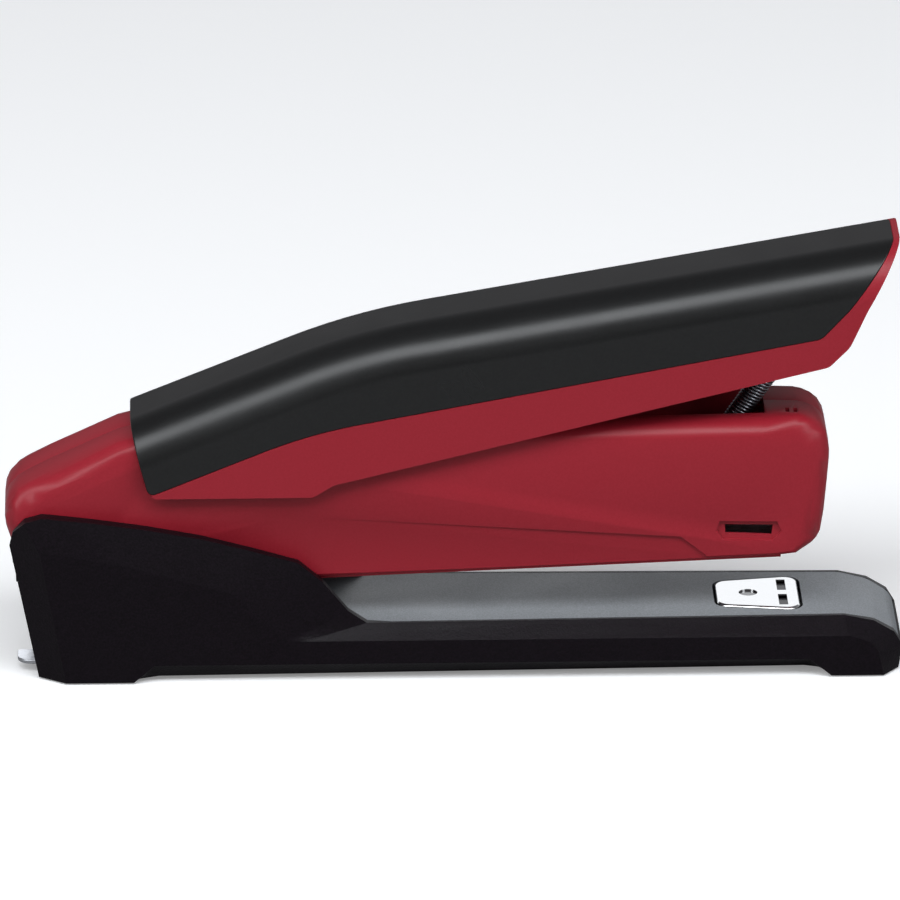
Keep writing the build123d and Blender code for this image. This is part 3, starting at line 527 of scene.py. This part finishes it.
# %% Spring that pushes the staples
TRACK_TILT = radians(2.2)
PUSHER_COIL_OUTER, PUSHER_COIL_WIRE, END_GAP = 1.645, 0.45, 0.2
PUSHER_COIL_RISE, PUSHER_TRAVEL = 1.7, 50.0
forwards = Vector((cos(TRACK_TILT), 0, sin(TRACK_TILT)))
spring_low, spring_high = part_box("pusher_spring")
spring_length = (spring_high.x - spring_low.x) / cos(TRACK_TILT) * MM_PER_METRE
pusher_foot = Vector((spring_low.x, 0, spring_low.z + millimetres(PUSHER_COIL_RISE)))
pusher_coil = coil(
    "pusher_coil",
    "track",
    PUSHER_COIL_OUTER,
    PUSHER_COIL_WIRE,
    spring_length - END_GAP,
    62,
    pusher_foot,
    forwards,
)
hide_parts("pusher_spring")
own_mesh(pusher_coil)

# %% [markdown]
# ## Staples
# A strip is about a hundred staples glued side by side. It could be one bar with drawn lines,
# but its ends and its underside would give that away. So one staple is bent from a bar: a
# crown with a leg down at each end. A small bevel leaves the fine grooves that show between
# neighbours, and an Array modifier repeats the staple along the rail.

# %% One staple
strip_low, strip_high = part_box("staple_strip")
WIRE, LEG = millimetres(0.5), millimetres(5.6)
WIRE_EDGE_SHARE = 0.18
crown_half = strip_high.y
bpy.ops.object.select_all(action="DESELECT")
bpy.ops.mesh.primitive_cube_add(size=1)
strip = bpy.context.active_object
strip.name = "glued_staples"
strip.dimensions = (WIRE, 2 * crown_half, WIRE)
settle(strip)
# A new primitive is selected all over, so that is undone before the ends' faces are picked
bpy.ops.object.mode_set(mode="EDIT")
bpy.ops.mesh.select_all(action="DESELECT")
bpy.ops.object.mode_set(mode="OBJECT")
crown = bmesh.new()
crown.from_mesh(strip.data)
for side in (-1, 1):
    bmesh.ops.bisect_plane(
        crown,
        geom=crown.verts[:] + crown.edges[:] + crown.faces[:],
        plane_co=(0, side * (crown_half - WIRE), 0),
        plane_no=(0, 1, 0),
    )
crown.to_mesh(strip.data)
crown.free()
for face in strip.data.polygons:
    face.select = face.normal.z < -0.9 and abs(face.center.y) > crown_half - WIRE
pick(strip)
bpy.ops.object.mode_set(mode="EDIT")
bpy.ops.mesh.extrude_region_move(TRANSFORM_OT_translate={"value": (0, 0, WIRE - LEG)})
bpy.ops.object.mode_set(mode="OBJECT")
rounding = strip.modifiers.new("wire edge", "BEVEL")
rounding.width = WIRE * WIRE_EDGE_SHARE
rounding.segments = 1
bpy.ops.object.modifier_apply(modifier=rounding.name)
print("one staple", len(strip.data.polygons), "faces")

# %% The strip on its rail
END_CLEARANCE = millimetres(0.05)
strip_length = (strip_high.x - strip_low.x) / cos(TRACK_TILT) - LEG * sin(TRACK_TILT)
copies = strip.modifiers.new("strip", "ARRAY")
copies.use_relative_offset = False
copies.use_constant_offset = True
copies.constant_offset_displace = (-WIRE, 0, 0)
copies.count = int(strip_length / WIRE)
print("staples", copies.count)
bpy.ops.object.modifier_apply(modifier=copies.name)
strip.rotation_euler = (0, -TRACK_TILT, 0)
strip.location = (
    strip_high.x - WIRE * 0.5 - END_CLEARANCE,
    0,
    strip_high.z - WIRE * 0.5 * cos(TRACK_TILT) - WIRE * sin(TRACK_TILT),
)
settle(strip)
give_finish(strip, FINISHES["staple_wire"])
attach(strip, "body")
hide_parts("staple_strip")

# %% [markdown]
# ## Floor, light and camera
# The stapler stands on a pale floor in a white studio. A plain white surround would turn its
# black parts grey, because glossy black shows what is round it. So floor and surround are pale
# only to the camera, and darker in what they throw back, as if dark cards stood out of view. One
# large soft light above the front draws the long highlight on the handle, weaker ones fill
# from the left and the right, and low cards behind reach what the body shades on the base. The
# camera looks slightly down at the stapler's right side from far away.

# %% Floor
FLOOR_SIDE = 14
bpy.ops.mesh.primitive_plane_add(size=FLOOR_SIDE, location=(0, 0, 0))
floor = bpy.context.active_object
floor.name = "studio_floor"
pale, nodes, links, pale_shader = new_material("pale floor")
pale_shader.inputs["Roughness"].default_value = 0.9
pale_shader.inputs["Specular IOR Level"].default_value = 0.1
pale_shader.inputs["Emission Color"].default_value = (1, 1, 1, 1)
to_camera = nodes.new("ShaderNodeLightPath").outputs["Is Camera Ray"]
tone = blend_colours(nodes, links, to_camera, grey(0.36), grey(0.9))
links.new(tone, pale_shader.inputs["Base Color"])
glow = ramp(nodes, 0.0, 1.0, 0.0, 0.22)
links.new(to_camera, glow.inputs["Value"])
links.new(glow.outputs["Result"], pale_shader.inputs["Emission Strength"])
give_finish(floor, pale)
print("floor", FLOOR_SIDE, "m")

# %% Lights
STAPLER_MIDDLE = Vector((0, 0, 0.04))
DAYLIGHT = (0.94, 0.97, 1.0)


def soft_light(name, place, size, power):
    """A rectangular light that faces the stapler's middle."""
    bpy.ops.object.light_add(type="AREA", location=place)
    light = bpy.context.active_object
    light.name = name
    light.data.shape = "RECTANGLE"
    light.data.size, light.data.size_y = size
    light.data.energy = power
    light.data.color = DAYLIGHT
    light.rotation_euler = (STAPLER_MIDDLE - Vector(place)).to_track_quat("-Z", "Y").to_euler()
    print(name, power, "W")
    return light


soft_light("overhead_front", (0.0, -0.8, 1.25), (2.2, 0.6), 24)
soft_light("left_fill", (-1.3, -0.9, 0.8), (0.8, 0.8), 8)
soft_light("right_fill", (1.3, -0.9, 0.7), (0.8, 0.8), 5)


# %% Low cards behind, for the base alone
def low_card(name, power, pieces):
    """A card behind the stapler that lights only these pieces, which the body shades."""
    card = soft_light(name, (0.0, 1.5, 0.5), (2.4, 0.5), power)
    lit = bpy.data.collections.new("lit by " + name)
    for piece in pieces:
        lit.objects.link(piece)
    card.light_linking.receiver_collection = lit


base_pieces = [piece for piece in bpy.data.objects if piece.get("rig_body") == "base"]
low_card("card_for_base", 8.5, [piece for piece in base_pieces if piece not in ANVIL_PIECES])
low_card("card_for_anvil", 3.4, ANVIL_PIECES)

# %% Surround
world = bpy.data.worlds.new("white studio")
bpy.context.scene.world = world
world.use_nodes = True
nodes, links = world.node_tree.nodes, world.node_tree.links
direction = nodes.new("ShaderNodeTexCoord")
parts = nodes.new("ShaderNodeSeparateXYZ")
links.new(direction.outputs["Generated"], parts.inputs["Vector"])
brightness = nodes.new("ShaderNodeValToRGB")
horizon, zenith = brightness.color_ramp.elements
horizon.color = (0.03, 0.03, 0.032, 1)
zenith.color = (0.12, 0.12, 0.13, 1)
zenith.position = 0.75
bright_band = brightness.color_ramp.elements.new(0.3)
bright_band.color = (0.3, 0.3, 0.31, 1)
links.new(parts.outputs["Z"], brightness.inputs["Fac"])
sky = nodes.new("ShaderNodeMix")
sky.data_type = "RGBA"
sky.inputs["B"].default_value = (1.0, 1.0, 1.0, 1)
links.new(nodes.new("ShaderNodeLightPath").outputs["Is Camera Ray"], sky.inputs["Factor"])
links.new(brightness.outputs["Color"], sky.inputs["A"])
links.new(sky.outputs["Result"], nodes["Background"].inputs["Color"])
# The Standard view keeps the red and the blacks as deep as the materials state them
bpy.context.scene.view_settings.view_transform = "Standard"
print("surround", world.name)

# %% Camera
AZIMUTH, ELEVATION = radians(-1.7), radians(20.0)
AIM = Vector((-0.0002, 0.0153, 0.0423))
DISTANCE, FAR_END = 2.6, 50.0
LENS, SENSOR = 464.0, 36.0
towards_camera = Vector(
    (sin(AZIMUTH) * cos(ELEVATION), -cos(AZIMUTH) * cos(ELEVATION), sin(ELEVATION))
)
bpy.ops.object.camera_add(location=AIM + towards_camera * DISTANCE)
camera = bpy.context.active_object
camera.name = "camera"
camera.rotation_euler = (-towards_camera).to_track_quat("-Z", "Y").to_euler()
camera.data.lens = LENS
camera.data.sensor_width = SENSOR
camera.data.clip_end = FAR_END
bpy.context.scene.camera = camera
print("camera", DISTANCE, "m away, lens", LENS, "mm")
